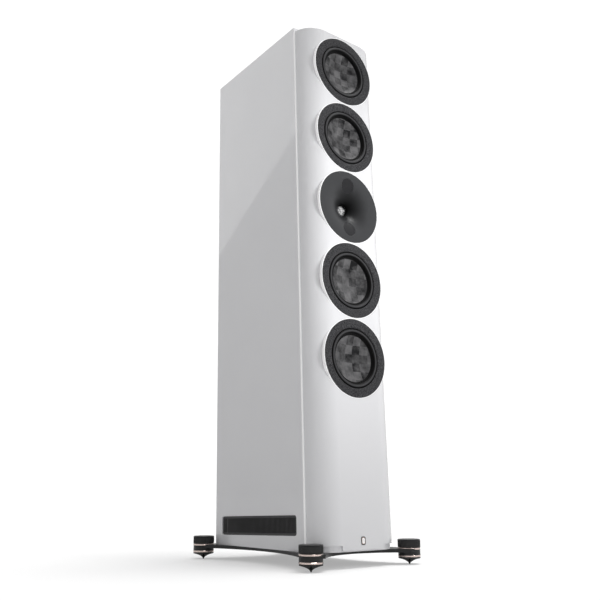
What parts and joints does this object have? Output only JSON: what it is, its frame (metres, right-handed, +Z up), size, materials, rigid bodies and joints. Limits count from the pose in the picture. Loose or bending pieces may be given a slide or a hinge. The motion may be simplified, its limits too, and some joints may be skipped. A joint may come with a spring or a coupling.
{
  "type": "floorstanding speaker",
  "caption": "Tall raked loudspeaker cabinet with woven-cone woofers around a waveguide with dome drivers, side vents, a four-armed base and adjustable spikes.",
  "frame": {"origin": "on the floor, midway between the four feet", "axes": "+Z up, front of the speaker towards -Y, +X to the right when seen from the front"},
  "size_m": [0.3292, 0.468, 1.2935],
  "materials": {
    "white_lacquer": "high-gloss white lacquer on fibreboard",
    "fibreboard": "bare fibreboard",
    "black_plastic": "moulded black",
    "grille_black": "matte black slotted grille",
    "waveguide_black": "satin black",
    "base_black": "satin black powder coat",
    "knob_black": "black anodised, knurled",
    "rose_gold": "polished rose gold",
    "carbon_weave": "clear-coated woven carbon",
    "surround_rubber": "matte rubber",
    "spider_cloth": "impregnated cloth",
    "trim_grey": "fine-textured dark grey",
    "cast_grey": "cast and painted",
    "bright_steel": "zinc-plated",
    "ferrite": "sintered",
    "copper_wire": "enamelled winding",
    "bright_dome": "polished",
    "dark_dome": "dark satin",
    "board_green": "solder mask",
    "capacitor_film": "wrapped film",
    "cable_sheath": "soft sheath",
    "post_black": "moulded",
    "post_red": "moulded"
  },
  "bodies": {
    "cabinet": {"side_panel_left": "white_lacquer", "side_panel_right": "white_lacquer", "top_panel": "white_lacquer", "bottom_panel": "white_lacquer", "back_panel": "white_lacquer", "front_baffle": "white_lacquer", "internal_braces": "fibreboard", "array_chamber": "fibreboard", "port_ducts": "black_plastic", "vent_grille_left": "grille_black", "vent_grille_right": "grille_black", "terminal_plate": "black_plastic", "terminal_studs": "bright_steel", "crossover_board": "board_green", "crossover_coils": "copper_wire", "crossover_capacitors": "capacitor_film", "wiring_loom": "cable_sheath", "base_plate": "base_black", "base_bolts": "bright_steel", "front_badge": "knob_black", "waveguide": "waveguide_black", "dome_motors": "bright_steel", "woofer_baskets": "cast_grey", "woofer_magnets": "ferrite", "woofer_top_plates": "bright_steel", "woofer_yokes": "bright_steel", "woofer_trim_rings": "trim_grey", "woofer_screws": "bright_steel", "foot_rings": "rose_gold", "woofer_surround_1": "surround_rubber", "woofer_spider_1": "spider_cloth", "woofer_surround_2": "surround_rubber", "woofer_spider_2": "spider_cloth", "woofer_surround_3": "surround_rubber", "woofer_spider_3": "spider_cloth", "woofer_surround_4": "surround_rubber", "woofer_spider_4": "spider_cloth"},
    "woofer_1": {"woofer_cone_1": "carbon_weave", "voice_coil_1": "copper_wire"},
    "woofer_2": {"woofer_cone_2": "carbon_weave", "voice_coil_2": "copper_wire"},
    "woofer_3": {"woofer_cone_3": "carbon_weave", "voice_coil_3": "copper_wire"},
    "woofer_4": {"woofer_cone_4": "carbon_weave", "voice_coil_4": "copper_wire"},
    "tweeter": {"tweeter_dome": "bright_dome"},
    "midrange_upper": {"mid_dome_upper": "dark_dome"},
    "midrange_lower": {"mid_dome_lower": "dark_dome"},
    "hand_wheel_1": {"foot_knob_1": "knob_black"},
    "spike_1": {"foot_spike_1": "knob_black"},
    "hand_wheel_2": {"foot_knob_2": "knob_black"},
    "spike_2": {"foot_spike_2": "knob_black"},
    "hand_wheel_3": {"foot_knob_3": "knob_black"},
    "spike_3": {"foot_spike_3": "knob_black"},
    "hand_wheel_4": {"foot_knob_4": "knob_black"},
    "spike_4": {"foot_spike_4": "knob_black"},
    "terminal_nut_1": {"binding_post_1": "post_black"},
    "terminal_nut_2": {"binding_post_2": "post_red"},
    "terminal_nut_3": {"binding_post_3": "post_black"},
    "terminal_nut_4": {"binding_post_4": "post_red"}
  },
  "joints": [
    {"name": "woofer_travel_1", "type": "slide", "parent": "cabinet", "child": "woofer_1", "axis": [0, -0.9996, 0.0293], "range_m": [-0.006, 0.006], "stiffness_N_per_m": 2000, "deforming": ["woofer_surround_1", "woofer_spider_1"]},
    {"name": "woofer_travel_2", "type": "slide", "parent": "cabinet", "child": "woofer_2", "axis": [0, -0.9996, 0.0293], "range_m": [-0.006, 0.006], "stiffness_N_per_m": 2000, "deforming": ["woofer_surround_2", "woofer_spider_2"]},
    {"name": "woofer_travel_3", "type": "slide", "parent": "cabinet", "child": "woofer_3", "axis": [0, -0.9996, 0.0293], "range_m": [-0.006, 0.006], "stiffness_N_per_m": 2000, "deforming": ["woofer_surround_3", "woofer_spider_3"]},
    {"name": "woofer_travel_4", "type": "slide", "parent": "cabinet", "child": "woofer_4", "axis": [0, -0.9996, 0.0293], "range_m": [-0.006, 0.006], "stiffness_N_per_m": 2000, "deforming": ["woofer_surround_4", "woofer_spider_4"]},
    {"name": "tweeter_travel", "type": "slide", "parent": "cabinet", "child": "tweeter", "axis": [0, -0.9996, 0.0293], "range_m": [-0.0004, 0.0004], "stiffness_N_per_m": 2000},
    {"name": "midrange_upper_travel", "type": "slide", "parent": "cabinet", "child": "midrange_upper", "axis": [0, -0.9996, 0.0293], "range_m": [-0.001, 0.001], "stiffness_N_per_m": 2000},
    {"name": "midrange_lower_travel", "type": "slide", "parent": "cabinet", "child": "midrange_lower", "axis": [0, -0.9996, 0.0293], "range_m": [-0.001, 0.001], "stiffness_N_per_m": 2000},
    {"name": "hand_wheel_turn_1", "type": "hinge", "parent": "cabinet", "child": "hand_wheel_1", "pos_m": [-0.1396, -0.209, 0.044], "axis": [0, 0, 1], "range_deg": [0, 2880]},
    {"name": "spike_extend_1", "type": "slide", "parent": "cabinet", "child": "spike_1", "axis": [0, 0, -1], "range_m": [0, 0.01201]},
    {"name": "hand_wheel_turn_2", "type": "hinge", "parent": "cabinet", "child": "hand_wheel_2", "pos_m": [0.1396, -0.209, 0.044], "axis": [0, 0, 1], "range_deg": [0, 2880]},
    {"name": "spike_extend_2", "type": "slide", "parent": "cabinet", "child": "spike_2", "axis": [0, 0, -1], "range_m": [0, 0.01201]},
    {"name": "hand_wheel_turn_3", "type": "hinge", "parent": "cabinet", "child": "hand_wheel_3", "pos_m": [-0.1396, 0.209, 0.044], "axis": [0, 0, 1], "range_deg": [0, 2880]},
    {"name": "spike_extend_3", "type": "slide", "parent": "cabinet", "child": "spike_3", "axis": [0, 0, -1], "range_m": [0, 0.01201]},
    {"name": "hand_wheel_turn_4", "type": "hinge", "parent": "cabinet", "child": "hand_wheel_4", "pos_m": [0.1396, 0.209, 0.044], "axis": [0, 0, 1], "range_deg": [0, 2880]},
    {"name": "spike_extend_4", "type": "slide", "parent": "cabinet", "child": "spike_4", "axis": [0, 0, -1], "range_m": [0, 0.01201]},
    {"name": "terminal_nut_turn_1", "type": "hinge", "parent": "cabinet", "child": "terminal_nut_1", "pos_m": [-0.03, 0.20895, 0.22357], "axis": [0, 0.9996, -0.0293], "range_deg": [0, 1080]},
    {"name": "terminal_nut_turn_2", "type": "hinge", "parent": "cabinet", "child": "terminal_nut_2", "pos_m": [0.03, 0.20895, 0.22357], "axis": [0, 0.9996, -0.0293], "range_deg": [0, 1080]},
    {"name": "terminal_nut_turn_3", "type": "hinge", "parent": "cabinet", "child": "terminal_nut_3", "pos_m": [-0.03, 0.20778, 0.18359], "axis": [0, 0.9996, -0.0293], "range_deg": [0, 1080]},
    {"name": "terminal_nut_turn_4", "type": "hinge", "parent": "cabinet", "child": "terminal_nut_4", "pos_m": [0.03, 0.20778, 0.18359], "axis": [0, 0.9996, -0.0293], "range_deg": [0, 1080]}
  ],
  "couplings": [
    {"joint": "spike_extend_1", "follows": "hand_wheel_turn_1", "m_per_rad": 0.00023873},
    {"joint": "spike_extend_2", "follows": "hand_wheel_turn_2", "m_per_rad": 0.00023873},
    {"joint": "spike_extend_3", "follows": "hand_wheel_turn_3", "m_per_rad": 0.00023873},
    {"joint": "spike_extend_4", "follows": "hand_wheel_turn_4", "m_per_rad": 0.00023873}
  ]
}
